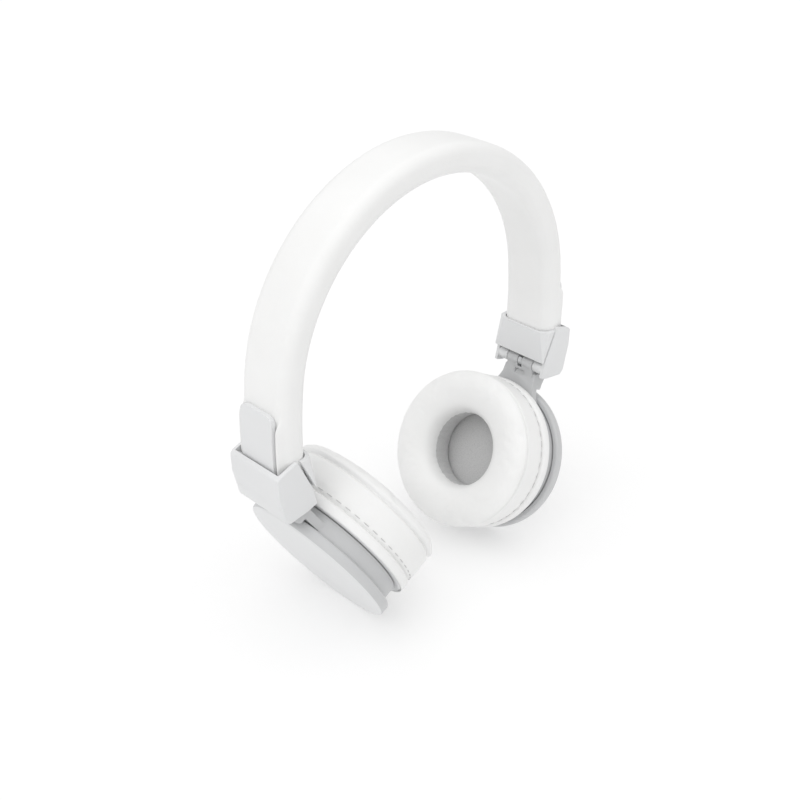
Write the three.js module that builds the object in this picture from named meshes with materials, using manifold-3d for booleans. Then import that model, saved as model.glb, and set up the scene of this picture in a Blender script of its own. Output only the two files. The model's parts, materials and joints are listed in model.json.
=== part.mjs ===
// Foldable wireless headphones: a padded arch with an adjuster and a folding ear cup at each end.
// Millimetres, +Z up, X across the head (+X is the wearer's left), +Y towards the back of the head.
// Each side is built once with +X outwards and turned half a turn about Z for the other ear.
import * as THREE from 'three';
import { mergeVertices } from 'three/addons/utils/BufferGeometryUtils.js';
import { ConvexGeometry } from 'three/addons/geometries/ConvexGeometry.js';
import Module from 'manifold-3d';

const wasm = await Module();
wasm.setup();

// ---------- fits ----------
const GAP = 0.3; // between pieces that touch
const RUNNING = 0.15; // radial room of a pin in its hole
const ROUND = 40; // sides of the large round pieces, a multiple of 4
const INNER_ROUND = 24; // sides of the round pieces inside the cups
const SMALL_ROUND = 16; // sides of pins, screws and sockets

// ---------- padded band ----------
const CROWN_RADIUS = 73.4; // centreline over the head
const CROWN_TURN = THREE.MathUtils.degToRad(83.4); // each side of the crown, before the leg starts
const LEG_RADIUS = 199.8; // centreline of the nearly straight legs
const LEG_LENGTH = 39.8;
const BAND_WIDTH = 24;
const BAND_THICKNESS = 11.8;
const BAND_CORNER = 4;
const COVER_WALL = 1;
const CORE_WIDTH = 18;
const CORE_THICKNESS = 0.9;
const CORE_OUT = 0.05; // the core's middle, outside the centreline
const LEAD_RADIUS = 0.9;
const LEAD_OUT = 2.8;
const BAND_STEPS = 41; // odd, so that one flat lies level on the crown

// ---------- adjuster ----------
const GUIDE_LENGTH = 33;
const GUIDE_WIDTH = 16;
const GUIDE_INNER_WALL = 0.8;
const GUIDE_OUTER_WALL = 0.5;
const STRIP_WIDTH = 10;
const STRIP_THICKNESS = 1;
const STRIP_X = 3.2; // strip's middle, outside the leg's end
const STRIP_REACH = 32; // above the leg's end when closed
const TONGUE_WIDTH = 17.7;
const TONGUE_THICKNESS = 2;
const TONGUE_LENGTH = 31;
const TONGUE_OVERHANG = 1; // past the leg's end
const CUFF_TOP = 11.6; // above the leg's end
const CUFF_BOTTOM = -2.6;
const CUFF_WALL = 1.2;
const CUFF_TOP_FLAT = 10.3; // half-width of the flat at its top
const CUFF_CHAMFER = 3.4;

// ---------- fold bracket, in the leg's frame ----------
const CHEEK = 1.5; // wall of the bracket's sides
const WEB = 1.5; // wall of the bracket's outside
const BRACKET_TOP = 9.4;
const BRACKET_TOP_INSIDE = 12.4;
const BRACKET_OUT = 11; // outside face, from the leg's end
const BRACKET_BOTTOM = -13;
const BRACKET_EDGE_TOP_X = 1.35;
const BRACKET_EDGE_MID = [-5.6, -2.4];
const BRACKET_EDGE_LOW = [-7.4, -10.2];
const POST_ROOM = 0.75; // from the corner posts to the tongue, and from them to the band
const SADDLE_THICKNESS = 3.3;
const SADDLE_INSIDE_X = 0.2;
const PIN_RADIUS = 1.25;
const PIN_X = -3.7;
const PIN_Z = -6.9;
const KNUCKLE_RADIUS = 3;
const KNUCKLE_HALF = 7; // the cup's knuckles take the middle, the bracket's the rest
const KNUCKLE_SLIT = 2.4;
const BLIND_WALL = 0.6; // left outside the pin's ends

// ---------- ear cup, about its own axis: X up the neck, Z from the cap's face towards the ear ----------
const REST_FOLD = THREE.MathUtils.degToRad(29.1); // leaning in from the leg
const PIN_TO_AXIS = 45;
const PIN_TO_FACE = 10.1;
const CAP_RADIUS = 34;
const CAP_FACE_RADIUS = 32.4;
const CAP_DEPTH = 5;
const CAP_WALL = 1.8;
const HOUSING_RADIUS = 31;
const HOUSING_WALL = 2;
const HOUSING_END = 12.2;
const SPIGOT = 2.6; // how far the housing reaches up inside the cap
const NECK_HALF = 8.8;
const NECK_TOP = 41.6;
const NECK_FLARE = 6;
const LIP_RADIUS = 33.6;
const LIP_DEPTH = 3.5;
const LIP_INSIDE = 5; // how far the ring reaches in from the housing's bore
const CUSHION_RADIUS = 35;
const CUSHION_DEPTH = 19.7;
const CUSHION_HOLE = 16;

// ---------- drive unit and what is screwed to it ----------
const BAFFLE_THICKNESS = 1.6;
const BAFFLE_FROM_LIP = 1.2;
const DRIVER_RADIUS = 20;
const BASKET_RADIUS = 15.9;
const MAGNET_RADIUS = 9;
const MAGNET_DEPTH = 6.4;
const COIL_RADIUS = 7.2;
const SCREEN_THICKNESS = 0.6;
const BOSS_RADIUS = 2.4;
const BOSS_SUNK = 0.4; // how far a boss runs into the housing's wall
const SCREW_RADIUS = 0.8;
const SCREW_HEAD_RADIUS = 1.5;
const SCREW_LENGTH = 5;

// ---------- electrics ----------
const BOARD_ROOM = 0.6; // from the bosses
const BOARD_THICKNESS = 1.2;
const BATTERY_ACROSS = 24;
const BATTERY_DEPTH = 4;
const BATTERY_ROOM = 2.9; // its corners from the housing's bore
const BATTERY_FROM_MAGNET = 3.6;
const BUTTON = [6.4, 2.8]; // round the cup, along its axis
const BUTTON_PROUD = 0.9;
const BUTTON_FLANGE = 0.8;
const FLANGE_LIP = 0.8; // how far the flange stands out all round the button
const BUTTON_SPACING = 9.2; // along the housing's outside
const CONTROL_ANGLE = THREE.MathUtils.degToRad(-120);
const CHARGE_ANGLE = THREE.MathUtils.degToRad(155);
const CHARGE_SHELL = [8, 3];
const CHARGE_WALL = 0.6;
const JACK_ANGLE = THREE.MathUtils.degToRad(125);
const JACK_RADIUS = 2.9;
const JACK_BORE = 1.75;
const LIGHT_ANGLE = THREE.MathUtils.degToRad(-80);
const LIGHT_RADIUS = 0.8;
const SOCKET_DEPTH = 5;

// Distances along the cup's axis that several pieces share.
const LIP_START = HOUSING_END + GAP;
const LIP_END = LIP_START + LIP_DEPTH;
const CUSHION_START = LIP_END + GAP;
const BAFFLE_END = HOUSING_END - BAFFLE_FROM_LIP + 0.2;
const BAFFLE_START = BAFFLE_END - BAFFLE_THICKNESS;
const HOUSING_BORE = HOUSING_RADIUS - HOUSING_WALL;
const WAIST_MIDDLE = (CAP_DEPTH + HOUSING_END) / 2;
const BOSS_CIRCLE = HOUSING_BORE - BOSS_RADIUS + BOSS_SUNK;
const BOARD_RADIUS = BOSS_CIRCLE - BOSS_RADIUS - BOARD_ROOM;
const LIP_BORE = HOUSING_BORE - LIP_INSIDE;
const BUTTON_PITCH = BUTTON_SPACING / HOUSING_RADIUS;

const leatherette = new THREE.MeshStandardMaterial({ color: 0xf3f3f1, roughness: 0.62 });
const shell = new THREE.MeshStandardMaterial({ color: 0xdfe0e1, roughness: 0.42 });
const darkPlastic = new THREE.MeshStandardMaterial({ color: 0x3a3b3d, roughness: 0.6 });
const steel = new THREE.MeshStandardMaterial({ color: 0xb9bcbf, roughness: 0.3, metalness: 1 });
const foam = new THREE.MeshStandardMaterial({ color: 0xc9c7c1, roughness: 0.95 });
const cloth = new THREE.MeshStandardMaterial({ color: 0xa9a9a8, roughness: 0.9 });
const film = new THREE.MeshStandardMaterial({ color: 0xd9c9a0, roughness: 0.35 });
const copper = new THREE.MeshStandardMaterial({ color: 0xb66a3c, roughness: 0.4, metalness: 1 });
const boardGreen = new THREE.MeshStandardMaterial({ color: 0x2f6b46, roughness: 0.5 });
const foil = new THREE.MeshStandardMaterial({ color: 0xc4c8cc, roughness: 0.35, metalness: 0.8 });
const lightPipe = new THREE.MeshStandardMaterial({ color: 0xeef4ff, roughness: 0.2 });

// ---------- geometry helpers ----------

// Merges shared corners, drops empty triangles and turns the faces outwards.
function closed(geometry) {
  const bare = new THREE.BufferGeometry();
  bare.setAttribute('position', geometry.getAttribute('position').clone());
  if (geometry.index) bare.setIndex(geometry.index.clone());
  const merged = mergeVertices(bare, 1e-4);
  const at = merged.getAttribute('position');
  const corner = [0, 1, 2].map(() => new THREE.Vector3());
  const kept = [];
  let volume = 0;
  for (let i = 0; i < merged.index.count; i += 3) {
    const ids = [0, 1, 2].map((k) => merged.index.getX(i + k));
    if (new Set(ids).size < 3) continue;
    ids.forEach((id, k) => corner[k].fromBufferAttribute(at, id));
    volume += corner[0].dot(corner[1].clone().cross(corner[2]));
    kept.push(ids);
  }
  merged.setIndex((volume < 0 ? kept.map(([a, b, c]) => [a, c, b]) : kept).flat());
  return merged;
}

function solid(geometry) {
  const ready = closed(geometry);
  const vertProperties = new Float32Array(ready.getAttribute('position').array);
  const triVerts = new Uint32Array(ready.index.array);
  return new wasm.Manifold(new wasm.Mesh({ numProp: 3, vertProperties, triVerts }));
}

function surface(body) {
  const mesh = body.getMesh();
  const geometry = new THREE.BufferGeometry();
  geometry.setAttribute('position', new THREE.BufferAttribute(new Float32Array(mesh.vertProperties), 3));
  geometry.setIndex(Array.from(mesh.triVerts));
  geometry.computeVertexNormals();
  return geometry;
}

const join = (...geometries) => surface(geometries.map(solid).reduce((a, b) => a.add(b)));
const cut = (from, ...tools) => surface(tools.map(solid).reduce((a, b) => a.subtract(b), solid(from)));
const common = (a, b) => surface(solid(a).intersect(solid(b)));

// Turned about Z from [radius, height] points; a flat faces -X, so that a cup can stand on it.
function turned(profile, sides = ROUND) {
  const points = profile.map(([radius, height]) => new THREE.Vector2(radius, height));
  if (profile[0][0] > 0) points.push(points[0].clone());
  return closed(new THREE.LatheGeometry(points, sides, Math.PI / sides).rotateX(Math.PI / 2));
}

// A plate with an [x, z] outline, as thick as 2 * half across Y.
function plate(outline, half, bevel = 0) {
  const shape = new THREE.Shape(outline.map(([x, z]) => new THREE.Vector2(x, z)));
  const options = {
    depth: 2 * (half - bevel), bevelEnabled: bevel > 0, bevelSize: bevel, bevelOffset: -bevel,
    bevelThickness: bevel, bevelSegments: 2,
  };
  return new THREE.ExtrudeGeometry(shape, options).rotateX(Math.PI / 2).translate(0, half - bevel, 0);
}

function block([x0, x1], [y0, y1], [z0, z1]) {
  return new THREE.BoxGeometry(x1 - x0, y1 - y0, z1 - z0)
    .translate((x0 + x1) / 2, (y0 + y1) / 2, (z0 + z1) / 2);
}

// A round bar along Y.
function bar(radius, from, to, x = 0, z = 0, sides = SMALL_ROUND) {
  return new THREE.CylinderGeometry(radius, radius, to - from, sides).translate(x, (from + to) / 2, z);
}

// A rounded rectangle; y is the side that faces the head.
function roundedSection(width, height, corner, y = 0) {
  const shape = new THREE.Shape();
  const [w, h] = [width / 2, height / 2];
  shape.moveTo(-w + corner, y - h);
  shape.lineTo(w - corner, y - h);
  shape.absarc(w - corner, y - h + corner, corner, -Math.PI / 2, 0);
  shape.lineTo(w, y + h - corner);
  shape.absarc(w - corner, y + h - corner, corner, 0, Math.PI / 2);
  shape.lineTo(-w + corner, y + h);
  shape.absarc(-w + corner, y + h - corner, corner, Math.PI / 2, Math.PI);
  shape.lineTo(-w, y - h + corner);
  shape.absarc(-w + corner, y - h + corner, corner, Math.PI, 1.5 * Math.PI);
  return shape;
}

// ---------- the band's curve ----------
const CROWN_ARC = CROWN_RADIUS * CROWN_TURN;
const BAND_END = CROWN_ARC + LEG_LENGTH;

// Heading below the horizontal after travelling the distance s from the top of the crown.
function headingAt(s) {
  return s <= CROWN_ARC ? s / CROWN_RADIUS : CROWN_TURN + (s - CROWN_ARC) / LEG_RADIUS;
}

// A point of the centreline, moved outwards by out.
function bandPoint(s, out = 0) {
  const travel = Math.abs(s);
  const heading = headingAt(travel);
  const crown = Math.min(heading, CROWN_TURN);
  const x = CROWN_RADIUS * Math.sin(crown) + LEG_RADIUS * (Math.sin(heading) - Math.sin(crown));
  const z = CROWN_RADIUS * (Math.cos(crown) - 1) + LEG_RADIUS * (Math.cos(heading) - Math.cos(crown));
  return new THREE.Vector3(Math.sign(s) * (x + out * Math.sin(heading)), 0, z + out * Math.cos(heading));
}

class BandCurve extends THREE.Curve {
  constructor(from, to, out = 0) {
    super();
    Object.assign(this, { from, to, out });
  }

  getPoint(t) {
    return bandPoint(this.from + (this.to - this.from) * t, this.out);
  }
}

// curveSegments is half the number of sides that a quarter turn of the section gets.
function alongBand(shape, from, to, steps, curveSegments = 1) {
  return new THREE.ExtrudeGeometry(shape, { steps, curveSegments, extrudePath: new BandCurve(from, to) });
}

function bandCover() {
  const section = roundedSection(BAND_WIDTH, BAND_THICKNESS, BAND_CORNER);
  const [w, h] = [BAND_WIDTH - 2 * COVER_WALL, BAND_THICKNESS - 2 * COVER_WALL];
  section.holes.push(roundedSection(w, h, BAND_CORNER - COVER_WALL));
  return alongBand(section, -BAND_END, BAND_END, BAND_STEPS);
}

function bandCore() {
  const [w, h] = [CORE_WIDTH / 2, CORE_THICKNESS / 2];
  const corners = [[-w, -h], [w, -h], [w, h], [-w, h]];
  const section = new THREE.Shape(corners.map(([x, y]) => new THREE.Vector2(x, y - CORE_OUT)));
  return alongBand(section, -BAND_END + GAP, BAND_END - GAP, BAND_STEPS);
}

function bandFoam() {
  const top = CORE_THICKNESS / 2 - CORE_OUT + GAP;
  const bottom = BAND_THICKNESS / 2 - COVER_WALL - GAP;
  const width = BAND_WIDTH - 2 * COVER_WALL - 2 * GAP;
  const section = new THREE.Shape();
  const corner = BAND_CORNER - COVER_WALL;
  section.moveTo(-width / 2, top);
  section.lineTo(width / 2, top);
  section.lineTo(width / 2, bottom - corner);
  section.lineTo(width / 2 - corner, bottom);
  section.lineTo(corner - width / 2, bottom);
  section.lineTo(-width / 2, bottom - corner);
  return alongBand(section, -BAND_END + GAP, BAND_END - GAP, BAND_STEPS);
}

function bandLead() {
  const section = new THREE.Shape();
  section.absarc(0, -LEAD_OUT, LEAD_RADIUS, 0, 2 * Math.PI);
  const reach = BAND_END - GUIDE_LENGTH - 6;
  return alongBand(section, -reach, reach, BAND_STEPS, 4);
}

// ---------- adjuster, in the leg's frame: origin at the leg's end, Z up the leg, X outwards ----------

const SLIDE_LEAN = headingAt(BAND_END - GUIDE_LENGTH / 2) - Math.PI / 2;

// The band's outside, grown by room, in the leg's frame and run on past the leg's end.
function bandEnvelope(room) {
  const section = roundedSection(BAND_WIDTH + 2 * room, BAND_THICKNESS + 2 * room, BAND_CORNER + room);
  return toLeg(alongBand(section, BAND_END - GUIDE_LENGTH, BAND_END + 2 * CUFF_TOP, 16));
}

function legFrame() {
  const frame = new THREE.Group();
  frame.position.copy(bandPoint(BAND_END));
  frame.rotation.y = SLIDE_LEAN;
  frame.updateMatrix();
  return frame;
}

function toLeg(geometry) {
  return geometry.applyMatrix4(legFrame().matrix.clone().invert());
}

function sliderGuide() {
  const x0 = STRIP_X - STRIP_THICKNESS / 2 - GAP;
  const x1 = STRIP_X + STRIP_THICKNESS / 2 + GAP;
  const half = GUIDE_WIDTH / 2;
  const slot = STRIP_WIDTH / 2 + GAP;
  const body = block([x0 - GUIDE_INNER_WALL, x1 + GUIDE_OUTER_WALL], [-half, half], [2 * GAP, GUIDE_LENGTH]);
  return cut(body, block([x0, x1], [-slot, slot], [-GUIDE_LENGTH, 2 * GUIDE_LENGTH]));
}

function sliderStrip() {
  const [x0, x1] = [STRIP_X - STRIP_THICKNESS / 2, STRIP_X + STRIP_THICKNESS / 2];
  const half = STRIP_WIDTH / 2;
  return block([x0, x1], [-half, half], [CUFF_BOTTOM - SADDLE_THICKNESS + 2 * GAP, STRIP_REACH]);
}

function tongue() {
  const middle = BAND_THICKNESS / 2 + GAP + TONGUE_THICKNESS / 2;
  const section = roundedSection(TONGUE_WIDTH, TONGUE_THICKNESS, TONGUE_THICKNESS * 0.45, -middle);
  return toLeg(alongBand(section, BAND_END - TONGUE_LENGTH, BAND_END + TONGUE_OVERHANG, 8));
}

// The cuff's chamfered block, cut by the bracket's edge line and by the band.
function cuff() {
  const half = BAND_WIDTH / 2 + GAP + CHEEK;
  const inside = -BAND_THICKNESS / 2 - GAP - CUFF_WALL;
  const points = [];
  for (const side of [-1, 1]) {
    for (const x of [inside, BRACKET_OUT]) points.push(new THREE.Vector3(x, side * half, CUFF_BOTTOM));
    points.push(new THREE.Vector3(inside + 0.7, side * CUFF_TOP_FLAT, CUFF_TOP));
    points.push(new THREE.Vector3(inside + CUFF_CHAMFER, side * half, CUFF_TOP));
    points.push(new THREE.Vector3(BRACKET_OUT, side * half, CUFF_TOP));
  }
  const room = 1.5 * GAP;
  const [mx, mz] = BRACKET_EDGE_MID;
  const slope = (BRACKET_EDGE_TOP_X - mx) / (BRACKET_TOP_INSIDE - mz);
  const edge = (z) => mx - room + slope * (z - mz);
  const far = 2 * inside;
  const keep = plate([[far, -9], [edge(-9), -9], [edge(CUFF_TOP + 1), CUFF_TOP + 1], [far, CUFF_TOP + 1]], 40);
  return cut(common(new ConvexGeometry(points), keep), bandEnvelope(GAP));
}

// ---------- fold bracket, in the leg's frame ----------

function foldBracket() {
  const half = BAND_WIDTH / 2 + GAP + CHEEK;
  const room = BAND_WIDTH / 2 + GAP;
  const outside = [
    [BRACKET_OUT - 1.2, BRACKET_TOP], [BRACKET_OUT, BRACKET_TOP - 1.2], [BRACKET_OUT - 0.2, 0.6],
    [BRACKET_OUT - 3, BRACKET_BOTTOM + 1.6], [BRACKET_OUT - 5, BRACKET_BOTTOM],
  ];
  const outline = [
    [BRACKET_EDGE_TOP_X, BRACKET_TOP_INSIDE], BRACKET_EDGE_MID, BRACKET_EDGE_LOW,
    [BRACKET_EDGE_LOW[0] + 4.4, BRACKET_BOTTOM + 1.4], ...outside.toReversed(),
  ];
  const inner = outside.slice(1, 4).map(([x, z]) => [x - WEB, z]);
  const pocket = [
    [-20, 20], [-20, 2 * BRACKET_BOTTOM], [inner[2][0], 2 * BRACKET_BOTTOM],
    ...inner.toReversed(), [inner[0][0], 20],
  ];
  const wall = cut(plate(outline, half, 0.8), plate(pocket, room));
  const saddleTop = CUFF_BOTTOM + GAP;
  const saddle = block([SADDLE_INSIDE_X, BRACKET_OUT - WEB], [-room - 0.3, room + 0.3],
    [saddleTop - SADDLE_THICKNESS, saddleTop]);
  const postInside = BAND_THICKNESS / 2 + 2 * POST_ROOM;
  const posts = [-1, 1].map((side) => {
    const ends = [side * (TONGUE_WIDTH / 2 + POST_ROOM), side * (room + 0.3)].sort((a, b) => a - b);
    return block([postInside, BRACKET_OUT - WEB + 0.2], ends, [saddleTop - 1, BRACKET_TOP - 1.4]);
  });
  const start = KNUCKLE_HALF + GAP;
  const knuckles = [-1, 1].map((side) => {
    const ends = [side * start, side * (room + 0.3)].sort((a, b) => a - b);
    return bar(KNUCKLE_RADIUS, ...ends, PIN_X, PIN_Z);
  });
  const [x0, x1] = [STRIP_X - STRIP_THICKNESS / 2 - GAP, STRIP_X + STRIP_THICKNESS / 2 + GAP];
  const slot = block([x0, x1], [-STRIP_WIDTH / 2 - GAP, STRIP_WIDTH / 2 + GAP], [-20, 20]);
  const end = half - BLIND_WALL;
  const bore = bar(PIN_RADIUS + RUNNING, -end, end, PIN_X, PIN_Z);
  return cut(join(wall, saddle, ...posts, ...knuckles), slot, bore);
}

function foldPin() {
  const end = BAND_WIDTH / 2 + GAP + CHEEK - BLIND_WALL - GAP;
  return bar(PIN_RADIUS, -end, end, PIN_X, PIN_Z);
}

function frictionWasher() {
  const half = KNUCKLE_SLIT / 2 - GAP;
  return cut(bar(KNUCKLE_RADIUS - 0.2, -half, half, PIN_X, PIN_Z),
    bar(PIN_RADIUS + RUNNING, -9, 9, PIN_X, PIN_Z));
}

// ---------- ear cup, about its own axis ----------

function cap() {
  return turned([
    [0, 0], [CAP_FACE_RADIUS, 0], [CAP_RADIUS - 0.4, 0.6], [CAP_RADIUS, 1.8], [CAP_RADIUS, 3.5],
    [CAP_RADIUS - 0.8, CAP_DEPTH], [HOUSING_RADIUS + GAP, CAP_DEPTH], [HOUSING_RADIUS + GAP, CAP_WALL],
    [0, CAP_WALL],
  ]);
}

// The neck in plan: straight sides that flare into the housing.
function neckPlan() {
  const shape = new THREE.Shape();
  const start = HOUSING_RADIUS - HOUSING_WALL / 2 - 4;
  shape.moveTo(start, -NECK_HALF - NECK_FLARE);
  shape.quadraticCurveTo(HOUSING_RADIUS + 1, -NECK_HALF - 1, HOUSING_RADIUS + NECK_FLARE, -NECK_HALF);
  shape.lineTo(NECK_TOP, -NECK_HALF);
  shape.lineTo(NECK_TOP, NECK_HALF);
  shape.lineTo(HOUSING_RADIUS + NECK_FLARE, NECK_HALF);
  shape.quadraticCurveTo(HOUSING_RADIUS + 1, NECK_HALF + 1, start, NECK_HALF + NECK_FLARE);
  return new THREE.ExtrudeGeometry(shape, { depth: HOUSING_END, bevelEnabled: false, curveSegments: 5 });
}

function neck() {
  const clear = CAP_RADIUS + 2 * GAP;
  const profile = [
    [20, CAP_DEPTH + 1.5 * GAP], [clear, CAP_DEPTH + 1.5 * GAP], [clear + 0.4, 2], [NECK_TOP - 1.3, 1.6],
    [NECK_TOP, 3], [NECK_TOP, PIN_TO_FACE - 2.5], [NECK_TOP - 1, PIN_TO_FACE - 0.9], [20, PIN_TO_FACE - 0.9],
  ];
  const wide = common(plate(profile, 2 * NECK_HALF), neckPlan());
  const arm = plate([
    [NECK_TOP - 3, 2.2], [NECK_TOP + 0.6, 3], [PIN_TO_AXIS + 2, PIN_TO_FACE - 2.2], [PIN_TO_AXIS, PIN_TO_FACE],
    [PIN_TO_AXIS - 2.6, PIN_TO_FACE + 1.5], [NECK_TOP - 3, PIN_TO_FACE - 0.9],
  ], KNUCKLE_HALF);
  const barrel = bar(KNUCKLE_RADIUS, -KNUCKLE_HALF, KNUCKLE_HALF, PIN_TO_AXIS, PIN_TO_FACE);
  const slit = block([NECK_TOP, PIN_TO_AXIS + 9], [-KNUCKLE_SLIT / 2, KNUCKLE_SLIT / 2], [-9, 30]);
  const bore = bar(PIN_RADIUS + RUNNING, -20, 20, PIN_TO_AXIS, PIN_TO_FACE);
  return cut(join(wide, arm, barrel), slit, bore);
}

const SCREW_ANGLES = [60, 180, 300].map(THREE.MathUtils.degToRad);

function housing(openings = []) {
  const ring = turned([
    [HOUSING_BORE, SPIGOT], [HOUSING_RADIUS, SPIGOT], [HOUSING_RADIUS, HOUSING_END],
    [HOUSING_BORE, HOUSING_END],
  ]);
  const bosses = SCREW_ANGLES.map((angle) => turned(
    [[0, 4], [BOSS_RADIUS, 4], [BOSS_RADIUS, BAFFLE_START - GAP], [0, BAFFLE_START - GAP]], 12,
  ).translate(BOSS_CIRCLE * Math.cos(angle), BOSS_CIRCLE * Math.sin(angle), 0));
  const holes = SCREW_ANGLES.map((angle) => turned(
    [[0, 4.6], [SCREW_RADIUS + GAP, 4.6], [SCREW_RADIUS + GAP, 20], [0, 20]], 8,
  ).translate(BOSS_CIRCLE * Math.cos(angle), BOSS_CIRCLE * Math.sin(angle), 0));
  const bore = turned([[0, -9], [HOUSING_BORE, -9], [HOUSING_BORE, 30], [0, 30]]);
  const shellAndNeck = join(ring, cut(neck(), bore), ...bosses);
  return cut(shellAndNeck, ...holes, ...openings);
}

function baffle(notches = []) {
  const disc = turned([
    [BASKET_RADIUS + GAP, BAFFLE_START], [HOUSING_BORE - GAP, BAFFLE_START],
    [HOUSING_BORE - GAP, BAFFLE_END], [BASKET_RADIUS + GAP, BAFFLE_END],
  ], INNER_ROUND);
  const holes = SCREW_ANGLES.map((angle) => turned(
    [[0, 0], [SCREW_RADIUS + GAP, 0], [SCREW_RADIUS + GAP, 20], [0, 20]], 8,
  ).translate(BOSS_CIRCLE * Math.cos(angle), BOSS_CIRCLE * Math.sin(angle), 0));
  return cut(disc, ...holes, ...notches);
}

function baffleScrew(angle) {
  const head = BAFFLE_END + GAP;
  return turned([
    [0, head - SCREW_LENGTH], [SCREW_RADIUS, head - SCREW_LENGTH], [SCREW_RADIUS, head],
    [SCREW_HEAD_RADIUS, head], [SCREW_HEAD_RADIUS, head + 0.7], [0, head + 0.7],
  ], 12).translate(BOSS_CIRCLE * Math.cos(angle), BOSS_CIRCLE * Math.sin(angle), 0);
}

function driverFrame() {
  const seat = BAFFLE_END + GAP;
  return turned([
    [MAGNET_RADIUS + GAP, seat - 5], [BASKET_RADIUS, seat - 2.6], [BASKET_RADIUS, seat],
    [DRIVER_RADIUS, seat], [DRIVER_RADIUS, seat + 1.3], [BASKET_RADIUS - 1.4, seat + 1.3],
    [BASKET_RADIUS - 1.4, seat - 1.4], [MAGNET_RADIUS + GAP, seat - 3.6],
  ], INNER_ROUND);
}

function magnet() {
  const end = BAFFLE_END - 2;
  return turned([
    [0, end - MAGNET_DEPTH], [MAGNET_RADIUS, end - MAGNET_DEPTH], [MAGNET_RADIUS, end], [0, end],
  ], INNER_ROUND);
}

function voiceCoil() {
  const from = BAFFLE_END - 2 + GAP;
  const to = BAFFLE_END + 1.3;
  return turned([[COIL_RADIUS - 0.7, from], [COIL_RADIUS, from], [COIL_RADIUS, to], [COIL_RADIUS - 0.7, to]],
    INNER_ROUND);
}

function diaphragm() {
  const seat = BAFFLE_END + GAP + 1.3 + GAP;
  const wave = [[0, 1.1], [COIL_RADIUS - 0.4, 0.5], [COIL_RADIUS + 0.4, 0.05], [13.4, 0.9], [DRIVER_RADIUS - 1.6, 0]];
  const under = wave.map(([radius, height]) => [radius, seat + height]);
  const over = wave.map(([radius, height]) => [radius, seat + height + 0.35]);
  return turned([...under, ...over.toReversed()], INNER_ROUND);
}

function lip() {
  return turned([
    [LIP_BORE, LIP_START + 1], [HOUSING_BORE - GAP, LIP_START + 1], [HOUSING_BORE - GAP, LIP_START],
    [LIP_RADIUS - 0.5, LIP_START], [LIP_RADIUS, LIP_START + 0.5], [LIP_RADIUS, LIP_END - 0.5],
    [LIP_RADIUS - 0.5, LIP_END], [LIP_BORE, LIP_END],
  ]);
}

function screen() {
  const from = LIP_END - 2 * SCREEN_THICKNESS;
  return turned([
    [0, from], [LIP_BORE - GAP, from], [LIP_BORE - GAP, from + SCREEN_THICKNESS], [0, from + SCREEN_THICKNESS],
  ], INNER_ROUND);
}

function earCushion() {
  const top = CUSHION_START + CUSHION_DEPTH;
  const [hole, rim] = [CUSHION_HOLE, CUSHION_RADIUS];
  return turned([
    [hole + 0.8, CUSHION_START], [rim - 0.9, CUSHION_START], [rim, CUSHION_START + 2.6], [rim, top - 6.4],
    [rim - 1.6, top - 2.4], [rim - 5, top - 0.4], [rim - 9, top], [hole + 5.4, top - 1.2],
    [hole + 1.6, top - 3.8], [hole, top - 7.5], [hole, CUSHION_START + 4],
  ]);
}

// ---------- electrics ----------

function circuitBoard() {
  const start = CAP_WALL + 1.6;
  return turned([
    [MAGNET_RADIUS + 2, start], [BOARD_RADIUS, start], [BOARD_RADIUS, start + BOARD_THICKNESS],
    [MAGNET_RADIUS + 2, start + BOARD_THICKNESS],
  ], INNER_ROUND);
}

function battery() {
  const half = BATTERY_ACROSS / 2;
  const start = CAP_WALL + 1.4;
  const far = Math.sqrt((HOUSING_BORE - BATTERY_ROOM) ** 2 - half ** 2);
  return block([MAGNET_RADIUS + BATTERY_FROM_MAGNET, far], [-half, half], [start, start + BATTERY_DEPTH]);
}

// Turns a piece built pointing out along X to stand at an angle round the cup, at mid-waist.
function atWaist(geometry, angle) {
  return geometry.translate(0, 0, WAIST_MIDDLE).rotateZ(angle);
}

const grown = ([across, tall], room) => [across + 2 * room, tall + 2 * room];

function pill([across, tall], from, to) {
  const shape = roundedSection(across, tall, tall * 0.45);
  return new THREE.ExtrudeGeometry(shape, { depth: to - from, bevelEnabled: false, curveSegments: 2 })
    .rotateX(Math.PI / 2).rotateZ(Math.PI / 2).translate(from, 0, 0);
}

const BUTTON_ANGLES = [-1, 0, 1].map((step) => CONTROL_ANGLE + step * BUTTON_PITCH);
const FLANGE_OUT = HOUSING_BORE * Math.cos(Math.PI / ROUND) - 2 * GAP;

function button(angle) {
  const stem = pill(BUTTON, FLANGE_OUT - 0.4, HOUSING_RADIUS + BUTTON_PROUD);
  const flange = pill(grown(BUTTON, FLANGE_LIP), FLANGE_OUT - BUTTON_FLANGE, FLANGE_OUT);
  return atWaist(join(stem, flange), angle);
}

function chargeSocket() {
  const mouth = HOUSING_RADIUS - GAP;
  const body = pill(CHARGE_SHELL, mouth - SOCKET_DEPTH, mouth);
  const hollow = pill(grown(CHARGE_SHELL, -CHARGE_WALL), mouth - SOCKET_DEPTH + 1, mouth + 5);
  return atWaist(cut(body, hollow), CHARGE_ANGLE);
}

function jackSocket() {
  const mouth = HOUSING_RADIUS - GAP;
  const body = bar(JACK_RADIUS, mouth - SOCKET_DEPTH, mouth);
  const bore = bar(JACK_BORE, mouth - SOCKET_DEPTH + 0.8, mouth + 5);
  return atWaist(cut(body, bore).rotateZ(-Math.PI / 2), JACK_ANGLE);
}

function statusLight() {
  return atWaist(bar(LIGHT_RADIUS, HOUSING_BORE - 2, HOUSING_RADIUS + 0.1, 0, 0, 12).rotateZ(-Math.PI / 2),
    LIGHT_ANGLE);
}

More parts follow.
